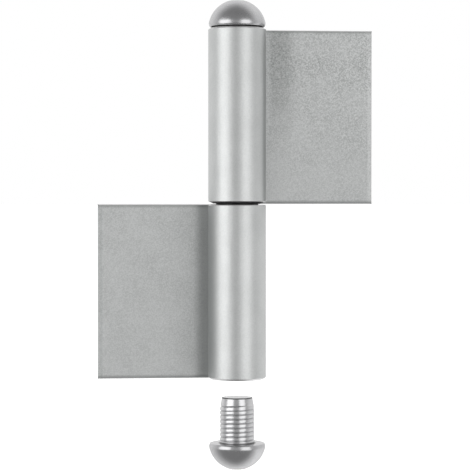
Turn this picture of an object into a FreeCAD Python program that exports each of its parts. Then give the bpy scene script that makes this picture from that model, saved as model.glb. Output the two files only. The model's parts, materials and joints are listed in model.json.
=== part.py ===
import FreeCAD, Part
import math
import os

# Weld-on lift off hinge, 120 mm tall, for steel doors and gates, in millimetres.
# Each half is one drawn bar: a round knuckle with a flat leaf flush with its back.
# Z is the swing axis, +Y is the weld side, and the upper leaf points along +X.
# The upper cap screw is seated, and the lower one is drawn out below its knuckle.

# The drawn bar
knuckle_diameter = 19.8
leaf_reach = 47.5
leaf_height = 60.0
leaf_thickness = 4.0
leaf_corner_bevel = 0.4
leaf_edge_bevel = 0.25
root_fillet = 0.5

# The turned ends of the knuckles, each bevel as its depth inwards and along the axis
facing_depth = 0.2
facing_overrun = 0.4
upper_end_proud = 0.2
outer_bevel_in, outer_bevel_along = 0.8, 0.65
upper_inner_bevel_in, upper_inner_bevel_along = 1.7, 0.8
lower_inner_bevel_in, lower_inner_bevel_along = 0.3, 0.2

# The pin and the washer that the upper half turns on
pin_diameter = 10.2
pin_running_clearance = 0.05
pin_lead_length = 2.0
pin_lead_in = 0.8
pin_foot_bevel = 0.5
washer_set_in = 2.6
washer_thickness = 0.5
washer_clearance = 0.1

# The domed cap screws, M12 fine
screw_diameter = 12.0
screw_clearance = 0.05
shank_length = 15.7
tip_taper_length = 4.2
tip_taper_in = 0.65
tip_bevel = 0.4
dome_height = 9.3
dome_rim_in = 0.5
dome_rim_height = 1.3
dome_rim_cuts = 2
hex_width = 4.0
hex_depth = 3.5
cap_gap = 0.35
tapped_spare = 0.8
mouth_bevel = 0.6
drill_point_angle = 120.0
drawn_out = 21.65

# Sizes that follow
knuckle_radius = knuckle_diameter / 2
dome_radius = knuckle_radius
drill_point_slope = 1 / math.tan(math.radians(drill_point_angle / 2))
leaf_front = knuckle_radius - leaf_thickness
leaf_gap = washer_thickness - 2 * facing_depth
shank_radius = screw_diameter / 2 - screw_clearance
tapped_radius = screw_diameter / 2 + screw_clearance
tapped_depth = shank_length - cap_gap + tapped_spare

# The origin lies on the swing axis, halfway between the crowns of the two caps
reach_above = leaf_gap + leaf_height + upper_end_proud + cap_gap + dome_height
reach_below = leaf_height - facing_depth + cap_gap + drawn_out + dome_height
parting = (reach_below - reach_above) / 2

lower_leaf_top = parting
lower_knuckle_top = lower_leaf_top - facing_depth
lower_end = lower_leaf_top - leaf_height + facing_depth
upper_leaf_bottom = parting + leaf_gap
upper_knuckle_bottom = upper_leaf_bottom + facing_depth
upper_end = upper_leaf_bottom + leaf_height + upper_end_proud
pin_top = upper_end + cap_gap - shank_length
pin_foot = lower_end - cap_gap + shank_length

UP = FreeCAD.Vector(0, 0, 1)
AXIS = FreeCAD.Vector(0, 0, 0)


def point(x, y, z=0.0):
    return FreeCAD.Vector(x, y, z)


def cylinder(radius, bottom, top):
    return Part.makeCylinder(radius, top - bottom, point(0, 0, bottom), UP)


def turned(outline):
    """A solid of revolution from (radius, height) corners."""
    corners = [point(radius, 0, height) for radius, height in outline]
    face = Part.Face(Part.makePolygon(corners + corners[:1]))
    return face.revolve(AXIS, UP, 360)


def drawn_section():
    """The bar's section: a circle whose back runs straight into the leaf, a fillet in front."""
    # The fillet's centre lies in front of the leaf, on a circle about the knuckle's axis
    fillet_y = leaf_front - root_fillet
    fillet_x = math.sqrt((knuckle_radius + root_fillet) ** 2 - fillet_y ** 2)
    share = knuckle_radius / (knuckle_radius + root_fillet)
    on_knuckle = point(fillet_x * share, fillet_y * share)
    on_leaf = point(fillet_x, leaf_front)
    turn = math.atan2(fillet_y, fillet_x)
    middle = (turn + math.pi + math.pi / 2) / 2
    fillet_middle = point(fillet_x + root_fillet * math.cos(middle),
                          fillet_y + root_fillet * math.sin(middle))
    corner = leaf_corner_bevel
    back = point(0, knuckle_radius)
    far_side = point(-knuckle_radius, 0)
    leaf = [back, point(leaf_reach - corner, knuckle_radius), point(leaf_reach, knuckle_radius - corner),
            point(leaf_reach, leaf_front + corner), point(leaf_reach - corner, leaf_front), on_leaf]
    outline = [Part.LineSegment(*ends).toShape() for ends in zip(leaf, leaf[1:])]
    outline.append(Part.Arc(on_leaf, fillet_middle, on_knuckle).toShape())
    outline.append(Part.Arc(on_knuckle, far_side, back).toShape())
    return Part.Face(Part.Wire(outline))


def end_cutter(face, outward, bevel_in, bevel_along):
    """What the lathe takes off one end of a knuckle: all past its face, and the bevel."""
    outer = knuckle_radius + facing_overrun
    inner = knuckle_radius - bevel_in
    slope = bevel_along / bevel_in
    past = face + outward * (facing_depth + leaf_edge_bevel)
    return turned([(0, face), (inner, face), (outer, face - outward * slope * (outer - inner)),
                   (outer, past), (0, past)])


def bevelled_leaf(bar):
    """Break the long edges of the leaf at both of its sawn ends."""
    long_edges = []
    for edge in bar.Edges:
        straight = isinstance(edge.Curve, Part.Line)
        if straight and edge.BoundBox.XLength > leaf_reach / 2:
            long_edges.append(edge)
    return bar.makeChamfer(leaf_edge_bevel, long_edges)


def hinge_half(inner_bevel_in, inner_bevel_along, bore_radius, outer_end):
    """One half, standing on its inner end: a drawn bar cut off, turned, bored and tapped."""
    bar = bevelled_leaf(drawn_section().extrude(UP * leaf_height))
    if outer_end > leaf_height:
        bar = bar.fuse(cylinder(knuckle_radius, leaf_height / 2, outer_end)).removeSplitter()
    bar = bar.cut(end_cutter(facing_depth, -1, inner_bevel_in, inner_bevel_along))
    bar = bar.cut(end_cutter(outer_end, 1, outer_bevel_in, outer_bevel_along))
    bar = bar.cut(cylinder(bore_radius, 0, outer_end))
    tapped_end = outer_end - tapped_depth
    drill_point = tapped_radius * drill_point_slope
    return bar.cut(turned([
        (0, outer_end + mouth_bevel), (tapped_radius + 2 * mouth_bevel, outer_end + mouth_bevel),
        (tapped_radius, outer_end - mouth_bevel), (tapped_radius, tapped_end),
        (0, tapped_end - drill_point),
    ]))


def lower_leaf():
    """The lower half, the same bar turned end for end, so that its leaf points along -X."""
    half = hinge_half(lower_inner_bevel_in, lower_inner_bevel_along, pin_diameter / 2,
                      leaf_height - facing_depth)
    half.rotate(AXIS, point(0, 1, 0), 180)
    half.translate(point(0, 0, lower_leaf_top))
    return half


def upper_leaf():
    bore_radius = pin_diameter / 2 + pin_running_clearance
    half = hinge_half(upper_inner_bevel_in, upper_inner_bevel_along, bore_radius,
                      leaf_height + upper_end_proud)
    half.translate(point(0, 0, upper_leaf_bottom))
    return half


def hinge_pin():
    """A ground pin, fast in the lower knuckle, with a tapered lead at its head."""
    radius = pin_diameter / 2
    return turned([
        (0, pin_foot), (radius - pin_foot_bevel, pin_foot), (radius, pin_foot + pin_foot_bevel),
        (radius, pin_top - pin_lead_length), (radius - pin_lead_in, pin_top), (0, pin_top),
    ])


def thrust_washer():
    """The thin ring that the upper knuckle turns on."""
    hole = pin_diameter / 2 + washer_clearance
    ring = cylinder(knuckle_radius - washer_set_in, lower_knuckle_top, upper_knuckle_bottom)
    return ring.cut(cylinder(hole, lower_knuckle_top, upper_knuckle_bottom))


def cap_screw(seat, outward):
    """A domed cap screw: its underside at the height seat, and its crown pointing outward."""
    # The dome is part of a sphere, and its rim is turned in a little by short straight cuts
    sphere_z = dome_height - dome_radius
    rise = math.asin((dome_rim_height - sphere_z) / dome_radius)
    rim_radius = dome_radius * math.cos(rise)
    half_way = (rise + math.pi / 2) / 2
    crown = point(0, 0, dome_height)
    dome_middle = point(dome_radius * math.cos(half_way), 0,
                        sphere_z + dome_radius * math.sin(half_way))
    corners = []
    for cut in range(dome_rim_cuts + 1):
        turn = math.pi / 2 * cut / dome_rim_cuts
        corners.append(point(rim_radius - dome_rim_in * (1 - math.cos(turn)), 0,
                             dome_rim_height * (1 - math.sin(turn))))
    tip_radius = shank_radius - tip_taper_in
    corners += [
        point(shank_radius, 0, 0), point(shank_radius, 0, tip_taper_length - shank_length),
        point(tip_radius, 0, tip_bevel - shank_length),
        point(tip_radius - tip_bevel, 0, -shank_length), point(0, 0, -shank_length), crown,
    ]
    outline = [Part.Arc(crown, dome_middle, corners[0]).toShape()]
    outline += [Part.LineSegment(*ends).toShape() for ends in zip(corners, corners[1:])]
    cap = Part.Face(Part.Wire(outline)).revolve(AXIS, UP, 360)
    cap = cap.cut(hex_socket())
    if outward < 0:
        cap.rotate(AXIS, point(1, 0, 0), 180)
    cap.translate(point(0, 0, seat))
    return cap


def hex_socket():
    """The hexagon socket in the crown, with a flat floor."""
    corner_radius = hex_width / math.sqrt(3)
    corners = [point(corner_radius * math.cos(math.radians(60 * n)),
                     corner_radius * math.sin(math.radians(60 * n)), dome_height - hex_depth)
               for n in range(6)]
    return Part.Face(Part.makePolygon(corners + corners[:1])).extrude(UP * hex_depth)


def top_cap():
    return cap_screw(upper_end + cap_gap, 1)


def bottom_cap():
    return cap_screw(lower_end - cap_gap - drawn_out, -1)


os.makedirs("parts", exist_ok=True)
for make in (lower_leaf, upper_leaf, hinge_pin, thrust_washer, top_cap, bottom_cap):
    make().exportStep("parts/" + make.__name__ + ".step")
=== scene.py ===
import json
import math
import bmesh
import bpy
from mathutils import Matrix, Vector


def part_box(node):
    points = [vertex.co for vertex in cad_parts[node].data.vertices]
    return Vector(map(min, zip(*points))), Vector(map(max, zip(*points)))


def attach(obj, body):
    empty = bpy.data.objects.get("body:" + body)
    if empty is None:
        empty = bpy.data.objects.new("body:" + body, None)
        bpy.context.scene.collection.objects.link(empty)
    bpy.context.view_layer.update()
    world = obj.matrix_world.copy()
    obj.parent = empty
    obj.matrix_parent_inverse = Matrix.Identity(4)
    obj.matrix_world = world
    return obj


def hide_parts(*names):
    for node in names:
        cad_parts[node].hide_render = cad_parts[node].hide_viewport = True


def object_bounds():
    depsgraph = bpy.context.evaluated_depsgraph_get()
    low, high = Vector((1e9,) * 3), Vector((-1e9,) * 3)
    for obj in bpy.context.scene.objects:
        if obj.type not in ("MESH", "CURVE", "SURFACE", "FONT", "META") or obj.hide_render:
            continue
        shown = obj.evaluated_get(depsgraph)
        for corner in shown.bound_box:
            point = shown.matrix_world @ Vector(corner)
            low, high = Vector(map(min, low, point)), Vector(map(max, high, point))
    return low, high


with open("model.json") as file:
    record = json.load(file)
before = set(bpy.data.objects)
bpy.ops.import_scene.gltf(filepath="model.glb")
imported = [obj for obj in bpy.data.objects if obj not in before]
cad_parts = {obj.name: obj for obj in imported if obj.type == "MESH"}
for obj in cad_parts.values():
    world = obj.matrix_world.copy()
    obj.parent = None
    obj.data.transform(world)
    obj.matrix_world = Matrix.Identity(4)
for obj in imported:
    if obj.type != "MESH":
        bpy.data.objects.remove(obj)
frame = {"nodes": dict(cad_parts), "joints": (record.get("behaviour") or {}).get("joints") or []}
cad_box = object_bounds()

# The two halves
# Each half is one length of bright drawn steel bar, a round knuckle with a flat leaf flush
# with its back. The drawn skin is satin and a little wavy on the knuckle, and duller and
# mottled on the leaf. The sawn ends of the leaf and the turned ends of the knuckle are bright.
# Shade is painted into the skin at the knuckle's root and near it, in a patch on the upper leaf,
# and in the gaps round the washer and under the seated cap screw.


class Value:
    """An output of a node, which takes part in sums as a number does."""

    def __init__(self, tree, socket):
        self.tree = tree
        self.socket = socket

    def maths(self, operation, *values):
        return self.tree.node("Math", {"operation": operation}, dict(enumerate(values)))

    def __add__(self, other):
        return self.maths("ADD", self, other)

    def __sub__(self, other):
        return self.maths("SUBTRACT", self, other)

    def __rsub__(self, other):
        return self.maths("SUBTRACT", other, self)

    def __mul__(self, other):
        return self.maths("MULTIPLY", self, other)

    def __abs__(self):
        return self.maths("ABSOLUTE", self)

    __radd__ = __add__
    __rmul__ = __mul__

    def rise(self, start, end):
        """0 up to start, 1 from end on, and a smooth rise between them."""
        values = {"Value": self, "From Min": start, "From Max": end}
        return self.tree.node("MapRange", {"interpolation_type": "SMOOTHSTEP"}, values)

    def within(self, zone):
        """1 between the inner two of a zone's four values, and 0 outside its outer two."""
        begins, full_from, full_to, ends = zone
        return self.rise(begins, full_from) * (1 - self.rise(full_to, ends))

    def spread(self):
        """A noise spread over 0 to 1, as most of its values lie from 0.3 to 0.7."""
        return self.rise(0.3, 0.7)


class Tree:
    """The node tree of a material or of the world."""

    def __init__(self, owner):
        owner.use_nodes = True
        self.nodes = owner.node_tree.nodes
        self.links = owner.node_tree.links

    def node(self, kind, settings=None, values=None, output=0):
        """Add a node, set it up, then set or link its sockets, and give one output back."""
        made = self.nodes.new("ShaderNode" + kind)
        for name, value in (settings or {}).items():
            setattr(made, name, value)
        self.feed(made, values or {})
        return Value(self, made.outputs[output])

    def feed(self, node, values):
        for name, value in values.items():
            if isinstance(value, Value):
                self.links.new(value.socket, node.inputs[name])
            else:
                node.inputs[name].default_value = value

    def place(self):
        return self.node("TexCoord", output="Object")

    def stretched(self, vector, amounts):
        """A place in units that are finer or coarser along each axis."""
        return self.node("VectorMath", {"operation": "MULTIPLY"}, {0: vector, 1: amounts})

    def noise(self, vector, scale, detail=2.0, roughness=0.5):
        values = {"Vector": vector, "Scale": scale, "Detail": detail, "Roughness": roughness}
        return self.node("TexNoise", values=values)

    def radius(self, vector):
        """How far a place is from the swing axis."""
        level = self.stretched(vector, (1, 1, 0))
        return self.node("VectorMath", {"operation": "LENGTH"}, {0: level}, output="Value")

    def rings(self, vector, scale):
        """Fine rings about the swing axis, as a lathe tool leaves them."""
        values = {"W": self.radius(vector), "Scale": scale, "Detail": 2.0}
        return self.node("TexNoise", {"noise_dimensions": "1D"}, values)

    def axis(self, vector, name):
        return self.node("SeparateXYZ", values={"Vector": vector}, output=name)

    def blend(self, share, first, second):
        """A colour between two, by a share from 0 to 1."""
        return self.node("Mix", {"data_type": "RGBA"}, {0: share, 6: first, 7: second}, output=2)

    def bump(self, height, distance):
        return self.node("Bump", values={"Height": height, "Distance": distance})


def metal(name):
    """A new metal material: the material, its tree and its surface node."""
    material = bpy.data.materials.new(name)
    tree = Tree(material)
    surface = tree.nodes["Principled BSDF"]
    tree.feed(surface, {"Metallic": 1.0})
    return material, tree, surface


def coat(node, material):
    """Give a CAD node's own surface another material."""
    for slot in frame["nodes"][node].material_slots:
        slot.material = material


MM = 0.001

# Along X from the swing axis: where the leaf's duller skin begins and is complete, and where
# the painted shade near its root has faded out
leaf_begins = 8.0 * MM
leaf_complete = 11.5 * MM
root_shade_ends = 32.0 * MM

# Along X from the swing axis: where the painted shade at the knuckle's root, and the painted shade
# patch on the upper leaf, begin, are darkest from and to, and end
lower_root_shade = [6.8 * MM, 9.8 * MM, 11.3 * MM, 15.2 * MM]
upper_root_shade = [7.8 * MM, 9.2 * MM, 9.5 * MM, 9.9 * MM]
shade_patch = [10.2 * MM, 13.5 * MM, 16.5 * MM, 23.0 * MM]

# Up the leaf, as shares of its height: where the painted shade patch begins, and where it is
# darkest
shade_patch_grows = [0.05, 1.0]

# Along Y from the swing axis: the dark root and the patch show in front, and fade out here
front_fade = [6.4 * MM, 7.4 * MM]

# The dark edges at the leaf's sawn ends, and the strip along its free edge, which is a painted
# highlight on the upper leaf and darker on the lower one
edge_reach = 1.6 * MM
strip_width = 1.4 * MM
strip_fade = 0.2 * MM

# Painted shade in the gap up and down from the washer's foot: how far it is full, and how far it
# reaches
washer_gap_shade = [0.6 * MM, 1.1 * MM]

# Painted shade at the upper knuckle's end, in the gap under the seated cap screw: where it begins
# and is full, up from that end
seat_gap_shade = [-0.175 * MM, -0.075 * MM]

# How far out from the swing axis the painted shade lies
gap_shade_radius = 9.4 * MM
gap_shade_fade = 0.5 * MM

# How steeply a face looks up or down: skin below the first value, and cut above the second
cut_slope = [0.3, 0.5]

# How much the noises grey, raise and dull the skin
skin_tone = 0.32
cloud_tone = 0.12
cloud_grain = 0.6
grain_share = 0.75
mottle_share = 0.3
knuckle_speckle = 0.15
leaf_speckle = 0.6
knuckle_relief = 0.1
leaf_relief = 0.7
wave_relief = 3.0
lathe_relief = 0.5
skin_relief_height = 0.03 * MM
drawn_roughness = 0.43
leaf_rougher = 0.22
leaf_duller = 0.36

drawn_pale = (0.68, 0.69, 0.687, 1)
drawn_grey = (0.34, 0.352, 0.348, 1)
# The grey of the painted shade at the knuckle's root, which also darkens the edges at the leaf's
# sawn ends
root_shade_grey = (0.27, 0.28, 0.277, 1)
cut_steel = (0.74, 0.74, 0.74, 1)
# Near black, for the painted shade in the gaps and under the cap screws' heads, and for the darker
# ring round the tip
near_black = (0.05, 0.05, 0.05, 1)


def gap_shade(tree, place, height):
    """Where shade is painted: in the gap round the washer, and at the end of the upper knuckle."""
    from_washer = abs(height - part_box("thrust_washer")[0].z)
    from_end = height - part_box("upper_leaf")[1].z
    darkened = (1 - from_washer.rise(*washer_gap_shade)) + from_end.rise(*seat_gap_shade)
    return darkened * (1 - tree.radius(place).rise(gap_shade_radius - gap_shade_fade, gap_shade_radius))


def drawn_steel(node, leaf_side, shade_zone, root_shade_strength, near_shade, patch_shade, strip_dark, top_dark,
                speckled):
    """The skin of one half, with painted shade at the knuckle's root, near it and in a patch, and
    a strip along the leaf's free edge. Each share makes a part of it darker, or paler where it is
    below 0, which is painted light; and the leaf's speckle grows from the first to the second
    value of speckled, foot to top."""
    material, tree, surface = metal(node + "_steel")
    low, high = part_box(node)
    middle = (low.z + high.z) / 2
    half_height = (high.z - low.z) / 2
    strip_full = max(-low.x, high.x) - strip_width

    place = tree.place()
    out = tree.axis(place, "X") * leaf_side
    height = tree.axis(place, "Z")
    upward = height.rise(low.z, high.z)
    on_leaf = out.rise(leaf_begins, leaf_complete)
    in_front = 1 - tree.axis(place, "Y").rise(*front_fade)
    on_cut = abs(tree.axis(tree.node("NewGeometry", output="Normal"), "Z")).rise(*cut_slope)

    # Painted shade in the crease where the leaf meets the knuckle, in front only
    painted_root_shade = out.within(shade_zone) * in_front * root_shade_strength
    at_ends = abs(height - middle).rise(half_height - edge_reach, half_height)
    at_ends *= on_leaf * (1 - upward * (1 - top_dark))
    # Painted shade on the leaf near the knuckle's root; where its share is below 0, as on the
    # upper leaf, it is painted light instead
    near_root_shade = on_leaf * (1 - out.rise(leaf_complete, root_shade_ends)) * near_shade
    # A patch of painted shade on the upper leaf beside the knuckle, growing darker towards the top
    painted_patch_shade = out.within(shade_patch) * patch_shade * upward.rise(*shade_patch_grows)
    # Along the leaf's free edge: a painted highlight where the share is below 0, as on the upper
    # leaf, and darker where it is above 0
    in_strip = out.rise(strip_full - strip_fade, strip_full) * strip_dark
    shaded = (near_root_shade + painted_patch_shade) * in_front + in_strip

    grain = tree.noise(place, scale=2600.0, detail=2.0, roughness=0.6)
    mottle = tree.noise(place, scale=1300.0, detail=3.0, roughness=0.6)
    cloudy = tree.noise(place, scale=90.0, detail=3.0, roughness=0.55).spread() - 0.5
    waves = tree.noise(tree.stretched(place, (260.0, 260.0, 60.0)), scale=1.0)
    marks = tree.rings(place, scale=5000.0)
    grainy = on_leaf * (upward * (speckled[1] - speckled[0]) + speckled[0])
    grainy *= cloudy * cloud_grain + 1
    speckle = grain.spread() * grain_share + mottle.spread() * mottle_share
    speckle -= (grain_share + mottle_share) / 2

    skin = speckle * (knuckle_speckle + grainy * leaf_speckle) + cloudy * cloud_tone
    skin_colour = tree.blend(skin + skin_tone + shaded, drawn_pale, drawn_grey)
    skin_colour = tree.blend(painted_root_shade + at_ends, skin_colour, root_shade_grey)
    colour = tree.blend(on_cut, skin_colour, cut_steel)
    skin_relief = speckle * (knuckle_relief + grainy * leaf_relief)
    skin_relief += waves * (1 - on_leaf) * wave_relief
    relief = skin_relief * (1 - on_cut) + marks * on_cut * lathe_relief
    tree.feed(surface, {
        "Base Color": tree.blend(gap_shade(tree, place, height), colour, near_black),
        "Metallic": 1 - on_leaf * leaf_duller,
        "Roughness": drawn_roughness + on_leaf * leaf_rougher + grain * 0.06,
        "Normal": tree.bump(relief, skin_relief_height),
    })
    return material


coat("lower_leaf", drawn_steel("lower_leaf", -1, lower_root_shade, root_shade_strength=0.64, near_shade=0.05,
                               patch_shade=0.0, strip_dark=0.15, top_dark=0.7,
                               speckled=(0.3, 0.4)))
coat("upper_leaf", drawn_steel("upper_leaf", 1, upper_root_shade, root_shade_strength=0.62, near_shade=-0.2,
                               patch_shade=0.44, strip_dark=-0.2, top_dark=0.95,
                               speckled=(0.4, 1.1)))

# The hinge pin
# A ground steel pin, pressed into the lower knuckle, with fine grinding marks round it.
# The upper half turns on it and lifts off it.

ground_roughness = 0.2
grinding_height = 0.004 * MM
ground_pale = (0.52, 0.52, 0.52, 1)
ground_grey = (0.45, 0.45, 0.46, 1)


def ground_steel():
    material, tree, surface = metal("ground_steel")
    lying = tree.stretched(tree.place(), (300.0, 300.0, 9000.0))
    marks = tree.noise(lying, scale=1.0, detail=3.0, roughness=0.6)
    tree.feed(surface, {
        "Base Color": tree.blend(marks, ground_pale, ground_grey),
        "Roughness": ground_roughness + marks * 0.08,
        "Normal": tree.bump(marks, grinding_height),
    })
    return material


coat("hinge_pin", ground_steel())

# The washer
# A thin ring of blackened and oiled steel, laid loose on the pin between the two knuckles.
# The film of black is no metal, and it is worn a little unevenly.

film_roughness = 0.3
film_height = 0.01 * MM
black_film = (0.012, 0.012, 0.012, 1)
black_wear = (0.03, 0.03, 0.032, 1)


def blackened_steel():
    material, tree, surface = metal("blackened_steel")
    film = tree.noise(tree.place(), scale=1500.0, detail=3.0, roughness=0.6)
    tree.feed(surface, {
        "Metallic": 0.0,
        "Base Color": tree.blend(film, black_film, black_wear),
        "Roughness": film_roughness + film * 0.12,
        "Normal": tree.bump(film, film_height),
    })
    return material


coat("thrust_washer", blackened_steel())

# The cap screws
# Two domed cap screws, turned from bright steel, with a fine thread of 12 mm, a hexagon socket
# in the crown, painted shade in the corner under the head, and a darker ring round the tip. The
# upper one is screwed home, and the lower one is drawn out.

pitch = 1.5 * MM
crest_radius = 5.95 * MM
thread_depth = 0.38 * MM
thread_start = 2.5 * MM
thread_runout = 0.7 * MM
shank_length = 15.7 * MM
neck_length = 0.5 * MM
tip_taper_length = 4.2 * MM
tip_taper_in = 0.65 * MM
tip_round = 0.4 * MM
dome_radius = 9.9 * MM
dome_height = 9.3 * MM
dome_rim_in = 0.5 * MM
dome_rim_height = 1.3 * MM
hex_width = 4.0 * MM
hex_depth = 3.5 * MM
hex_mouth_bevel = 0.15 * MM

# How far the thread is turned about the axis, as a share of a turn
thread_turned = 0.58

steps_around = 96
rim_steps = 8
dome_steps = 28
tip_steps = 5
weld_distance = 0.0005 * MM
sliver_size = 0.0001 * MM
crisp_angle = math.radians(32)

# One pitch of the thread, as its share of the pitch and its share of the depth
thread_form = [(-0.34, 0.16), (-0.18, 0.045), (0.0, 0.0), (0.18, 0.045), (0.34, 0.16),
               (0.46, 0.95), (0.5, 1.0), (0.54, 0.95)]


def ring(shell, radius_at, height_at):
    """A closed ring of corners. The radius follows their angle, and the height the radius."""
    corners = []
    for step in range(steps_around):
        angle = math.tau * step / steps_around
        radius = radius_at(angle)
        corners.append(shell.verts.new((radius * math.cos(angle), radius * math.sin(angle),
                                        height_at(radius))))
    return corners


def join(shell, first, second):
    """Faces between two rings."""
    for step in range(steps_around):
        after = (step + 1) % steps_around
        shell.faces.new((first[step], first[after], second[after], second[step]))


def turned_shell(shell, outline):
    """Rings through (radius, height) corners, joined into a skin."""
    rings = []
    for radius, height in outline:
        rings.append(ring(shell, lambda angle, r=radius: r, lambda radius, z=height: z))
    for first, second in zip(rings, rings[1:]):
        join(shell, first, second)
    return rings


def arc(centre, radius, start, end, count):
    """Corners along an arc about a centre, as (radius, height)."""
    corners = []
    for step in range(count + 1):
        turn = start + (end - start) * step / count
        corners.append((centre[0] + radius * math.cos(turn), centre[1] + radius * math.sin(turn)))
    return corners


def cover(shell, edge_ring, height):
    """Close a ring with a fan to the axis."""
    middle = shell.verts.new((0, 0, height))
    for step in range(steps_around):
        shell.faces.new((edge_ring[step], edge_ring[(step + 1) % steps_around], middle))


def thread_skin(shell, form, plain_radius, depth, bottom, top):
    """Rows that follow the helix over a plain shape. The thread runs out at both its ends."""
    first_turn = math.floor(bottom / pitch) - 1
    last_turn = math.ceil(top / pitch) + 1
    rows = [(turn + share + thread_turned, sunk) for turn in range(first_turn, last_turn + 1)
            for share, sunk in form]
    grid = []
    for turn, sunk in rows:
        row = []
        for step in range(steps_around):
            held = min(max((turn + step / steps_around) * pitch, bottom), top)
            share = min(1.0, (held - bottom) / thread_runout, (top - held) / thread_runout)
            radius = plain_radius(held) - depth * sunk * share
            angle = math.tau * step / steps_around
            row.append(shell.verts.new((radius * math.cos(angle), radius * math.sin(angle), held)))
        grid.append(row)
    per_turn = len(form)
    for number in range(len(grid) - per_turn - 1):
        for step in range(steps_around):
            # The last step of a row meets the first of the row that is one turn further up
            after, further = (step + 1, 0) if step + 1 < steps_around else (0, per_turn)
            shell.faces.new((grid[number][step], grid[number + further][after],
                             grid[number + further + 1][after], grid[number + 1][step]))


def finished(shell, name, material, seat, outward):
    """Seat a skin, weld it, turn its faces outward and make it an object with crisp edges."""
    for corner in shell.verts:
        x, y, z = corner.co
        corner.co = (x, outward * y, seat + outward * z)
    bmesh.ops.remove_doubles(shell, verts=shell.verts, dist=weld_distance)
    bmesh.ops.dissolve_degenerate(shell, edges=shell.edges, dist=sliver_size)
    loose = [corner for corner in shell.verts if not corner.link_faces]
    bmesh.ops.delete(shell, geom=loose, context="VERTS")
    bmesh.ops.recalc_face_normals(shell, faces=shell.faces)
    mesh = bpy.data.meshes.new(name)
    shell.to_mesh(mesh)
    shell.free()
    mesh.shade_smooth()
    mesh.set_sharp_from_angle(angle=crisp_angle)
    mesh.materials.append(material)
    piece = bpy.data.objects.new(name, mesh)
    bpy.context.scene.collection.objects.link(piece)
    return piece


def shank_radius(height):
    """The shank's radius before it is threaded: a taper near the tip, then straight."""
    up_taper = min(1.0, (height + shank_length) / tip_taper_length)
    return crest_radius - tip_taper_in * (1 - up_taper)


def cap_seat(node, outward):
    """Where the underside of a cap screw's head lies at rest, worked out from its tip."""
    low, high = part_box(node)
    return low.z + shank_length if outward > 0 else high.z - shank_length


def cap_screw(name, node, outward, material):
    """One cap screw, drawn with its underside at height 0 and its crown upward."""
    shell = bmesh.new()
    sphere_z = dome_height - dome_radius
    rise = math.asin((dome_rim_height - sphere_z) / dome_radius)
    rim_radius = dome_radius * math.cos(rise)
    mouth_radius = hex_width / math.sqrt(3) + hex_mouth_bevel
    mouth_turn = math.acos(mouth_radius / dome_radius)
    mouth_z = sphere_z + dome_radius * math.sin(mouth_turn)

    def hex_radius(angle):
        sixth = math.pi / 3
        return hex_width / 2 / math.cos((angle + sixth / 2) % sixth - sixth / 2)

    def mouth_cone(radius):
        return mouth_z - (mouth_radius - radius)

    socket_floor = dome_height - hex_depth
    tip_radius = crest_radius - tip_taper_in
    thread_top = -neck_length
    thread_bottom = thread_start - shank_length
    head = [(crest_radius, thread_top), (crest_radius, 0)]
    for across, up in arc((0, 0), 1.0, -math.pi / 2, 0, rim_steps):
        head.append((rim_radius - dome_rim_in * (1 - across), dome_rim_height * (1 + up)))
    head += arc((0, sphere_z), dome_radius, rise, mouth_turn, dome_steps)[1:]
    rings = turned_shell(shell, head)
    mouth = ring(shell, hex_radius, mouth_cone)
    floor_edge = ring(shell, hex_radius, lambda radius: socket_floor)
    join(shell, rings[-1], mouth)
    join(shell, mouth, floor_edge)
    cover(shell, floor_edge, socket_floor)
    thread_skin(shell, thread_form, shank_radius, thread_depth, thread_bottom, thread_top)
    tip = arc((tip_radius - tip_round, tip_round - shank_length), tip_round,
              -math.pi / 2, 0, tip_steps)
    rings = turned_shell(shell, tip + [(shank_radius(thread_bottom), thread_bottom)])
    cover(shell, rings[0], -shank_length)
    piece = finished(shell, name, material, cap_seat(node, outward), outward)
    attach(piece, node)
    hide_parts(node)


bright_roughness = 0.22
dent_height = 0.01 * MM
bright_pale = (0.58, 0.58, 0.588, 1)
bright_grey = (0.43, 0.43, 0.438, 1)

# How far out the painted shade under the head reaches, and how dark it is
seated_head_shade = [9.0 * MM, 1.0]
loose_head_shade = [6.6 * MM, 0.6]
corner_shade_fade = 0.3 * MM

# Down from the head's underside: the painted shade in the corner, and where the paler shank begins
corner_shade = [-0.06 * MM, -0.03 * MM, 0.3 * MM, 0.6 * MM]
shank_begins = [0.3 * MM, 0.8 * MM]

# The darker ring round the tip: how far from the tip's face it begins and is full, and how far out
tip_dark_zone = [0.45 * MM, 0.25 * MM]
tip_dark_radius = [4.85 * MM, 4.95 * MM]
tip_darkness = 0.85


def bright_steel(name, node, outward, head_shade):
    """Bright steel, with painted shade where the head meets the shank, and darker round the tip.
    """
    material, tree, surface = metal(name)
    place = tree.place()
    specks = tree.noise(place, scale=700.0, detail=4.0, roughness=0.65)
    dents = tree.noise(place, scale=260.0)
    marks = tree.rings(place, scale=4000.0)
    below_head = (tree.axis(place, "Z") - cap_seat(node, outward)) * -outward
    out = tree.radius(place)
    shade_reach, shade_dark = head_shade
    darkened = below_head.within(corner_shade)
    darkened *= (1 - out.rise(shade_reach - corner_shade_fade, shade_reach)) * shade_dark
    to_tip = below_head.rise(shank_length - tip_dark_zone[0], shank_length - tip_dark_zone[1])
    darkened += to_tip * out.rise(*tip_dark_radius) * tip_darkness
    greyness = specks * 0.6 + 0.4 - below_head.rise(*shank_begins) * 0.45
    tree.feed(surface, {
        "Base Color": tree.blend(darkened, tree.blend(greyness, bright_pale, bright_grey), near_black),
        "Roughness": bright_roughness + specks * 0.08 + darkened * 0.2,
        "Normal": tree.bump(specks + marks * 0.3 + dents * 2.0, dent_height),
    })
    return material


seated_steel = bright_steel("seated_steel", "top_cap", 1, seated_head_shade)
cap_screw("top_cap_screw", "top_cap", 1, seated_steel)
loose_steel = bright_steel("loose_steel", "bottom_cap", -1, loose_head_shade)
cap_screw("bottom_cap_screw", "bottom_cap", -1, loose_steel)

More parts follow.
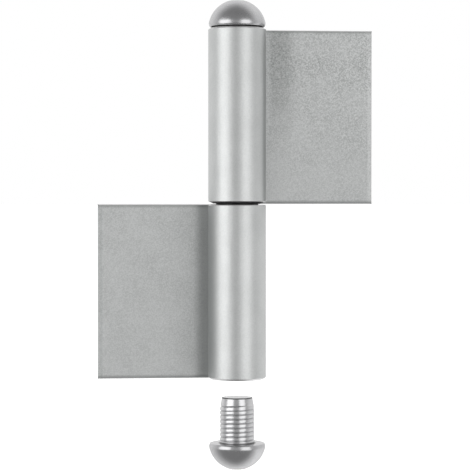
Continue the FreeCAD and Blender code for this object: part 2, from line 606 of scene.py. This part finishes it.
# The threads in the knuckles
# A fine thread is tapped into the outer end of each knuckle, in the knuckle's own steel. Its
# ridges lie in the grooves of the seated cap screw, and its skin lies just inside the wall.

wall_radius = 6.045 * MM
thread_radius = 6.03 * MM
ridge_height = 0.29 * MM
tapped_from = 1.6 * MM
tapped_to = 15.9 * MM
tapped_roughness = 0.3
tapped_speck_height = 0.008 * MM

# One pitch of the ridge, as its share of the pitch and its share of the height
ridge_form = [(0.35, 0.0), (0.47, 1.0), (0.53, 1.0), (0.65, 0.0)]


def seated_from_rest(node):
    """How far a cap screw rises from its place at rest until it is screwed home."""
    reaches = [joint["range_m"][1] for joint in frame["joints"] if joint["child"] == node]
    return reaches[0] if node == "bottom_cap" else 0.0


def tapped_thread(name, body, node, outward, material):
    """The thread in one knuckle, drawn about its seated cap screw with the crown upward."""
    shell = bmesh.new()
    bottom, top = -tapped_to, -tapped_from
    thread_skin(shell, ridge_form, lambda height: thread_radius, ridge_height, bottom, top)
    turned_shell(shell, [(thread_radius, bottom), (wall_radius, bottom),
                         (wall_radius, top), (thread_radius, top)])
    seat = cap_seat(node, outward) + seated_from_rest(node)
    piece = finished(shell, name, material, seat, outward)
    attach(piece, body)


def tapped_steel():
    material, tree, surface = metal("tapped_steel")
    specks = tree.noise(tree.place(), scale=900.0, detail=3.0, roughness=0.6)
    tree.feed(surface, {
        "Base Color": tree.blend(specks, drawn_pale, drawn_grey),
        "Roughness": tapped_roughness + specks * 0.1,
        "Normal": tree.bump(specks, tapped_speck_height),
    })
    return material


tapped = tapped_steel()
tapped_thread("upper_thread", "upper_half", "top_cap", 1, tapped)
tapped_thread("lower_thread", "lower_half", "bottom_cap", -1, tapped)

# Floor and light
# A plain white floor, a studio that is bright behind the part and darker in front of it, and
# two upright soft lamps. The floor glows for the camera alone, less near the part than further
# out, so that it meets the white background.

floor_drop = 30 * MM
floor_reach = 40.0

# The floor's glow near the swing axis, what it gains further out, and from where to where
glow_near = 0.22
glow_gain = 0.48
glow_rise = [0.06, 0.21]

floor_white = (0.8, 0.8, 0.8, 1)
floor_off_white = (0.82, 0.82, 0.82, 1)


def floor_material():
    material = bpy.data.materials.new("white_floor")
    tree = Tree(material)
    grain = tree.noise(tree.place(), scale=40.0)
    seen = tree.node("LightPath", output="Is Camera Ray")
    away = tree.radius(tree.place()).rise(*glow_rise)
    tree.feed(tree.nodes["Principled BSDF"], {
        "Base Color": tree.blend(grain, floor_white, floor_off_white),
        "Roughness": 0.9,
        "Emission Color": (1, 1, 1, 1),
        "Emission Strength": seen * (glow_near + away * glow_gain),
    })
    return material


floor_mesh = bpy.data.meshes.new("floor")
floor_z = cad_box[0].z - floor_drop
floor_corners = [(x * floor_reach, y * floor_reach, floor_z)
                 for x, y in ((-1, -1), (1, -1), (1, 1), (-1, 1))]
floor_mesh.from_pydata(floor_corners, [], [(0, 1, 2, 3)])
floor_mesh.materials.append(floor_material())
floor = bpy.data.objects.new("floor", floor_mesh)
bpy.context.scene.collection.objects.link(floor)
floor.visible_glossy = False

# The studio's tones by direction, where 1 is white: they light the part and show in it. The
# camera itself sees white on every side, and so do reflections straight behind the part.
front_tone = 0.33
front_level_gain = 0.19
back_tone = 1.14
back_right_loss = 0.18
back_low_gain = 0.25

# The heights where the level stretch begins, is full from and to, and ends, and where the low
# stretch is full and ends
level_zone = [-0.6, -0.15, 0.3, 0.65]
low_zone = [-0.5, 0.05]

# Where the right side, the back, and the backdrop straight behind begin and are full
right_zone = [-0.3, 0.3]
back_zone = [-0.2, 0.75]
backdrop_zone = [0.6, 0.95]

# How far both sides count as the back, and the right side on top of that
back_from_sides = 0.3
back_from_right = 0.26


def studio():
    world = bpy.data.worlds.new("studio")
    bpy.context.scene.world = world
    tree = Tree(world)
    direction = tree.node("TexCoord", output="Generated")
    side = tree.axis(direction, "X")
    depth = tree.axis(direction, "Y")
    height = tree.axis(direction, "Z")
    level = height.within(level_zone)
    low = 1 - height.rise(*low_zone)
    right = side.rise(*right_zone)
    behind = (depth + abs(side) * back_from_sides + side * back_from_right).rise(*back_zone)
    front = front_tone + level * front_level_gain
    back = back_tone - right * level * back_right_loss + side * low * back_low_gain
    tone = front + (back - front) * behind
    seen = tree.node("LightPath", output="Is Camera Ray")
    mirrored = tree.node("LightPath", output="Is Glossy Ray") * depth.rise(*backdrop_zone)
    tree.feed(tree.nodes["Background"], {
        "Color": (1, 1, 1, 1),
        "Strength": tone + (1 - tone) * (seen + mirrored),
    })


studio()


def soft_lamp(name, bearing, distance, width, bottom, top, power):
    """An upright soft box, at a bearing in degrees from straight in front to the right."""
    data = bpy.data.lights.new(name, "AREA")
    data.shape = "RECTANGLE"
    data.size = width
    data.size_y = top - bottom
    data.energy = power
    lamp = bpy.data.objects.new(name, data)
    turn = math.radians(bearing)
    towards = Vector((math.sin(turn), -math.cos(turn), 0))
    lamp.location = towards * distance + Vector((0, 0, (bottom + top) / 2))
    lamp.rotation_euler = towards.to_track_quat("Z", "Y").to_euler()
    lamp.visible_camera = False
    bpy.context.scene.collection.objects.link(lamp)


soft_lamp("left_lamp", bearing=-57.5, distance=0.6, width=0.56, bottom=-0.24, top=0.43,
          power=1.85)
soft_lamp("right_lamp", bearing=30.5, distance=0.6, width=0.45, bottom=-0.33, top=0.43,
          power=1.33)

# Camera
# Nearly level with the joint and a little to the left, as the picture was taken. Its place is
# measured from the swing axis and, in height, from the top of the lower leaf.

frame_pixels = 470
focal_pixels = 1948
sensor_width = 36.0
camera_yaw = math.radians(5.275)
camera_pitch = math.radians(1.06)
camera_side = -62.08 * MM
camera_depth = -664.36 * MM
above_joint = 1.85 * MM

camera_data = bpy.data.cameras.new("camera")
camera_data.sensor_width = sensor_width
camera_data.lens = focal_pixels / frame_pixels * sensor_width
camera = bpy.data.objects.new("camera", camera_data)
camera.location = (camera_side, camera_depth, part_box("lower_leaf")[1].z + above_joint)
camera.rotation_euler = (math.pi / 2 - camera_pitch, 0, -camera_yaw)
bpy.context.scene.collection.objects.link(camera)
bpy.context.scene.camera = camera
bpy.context.scene.view_settings.view_transform = "Standard"
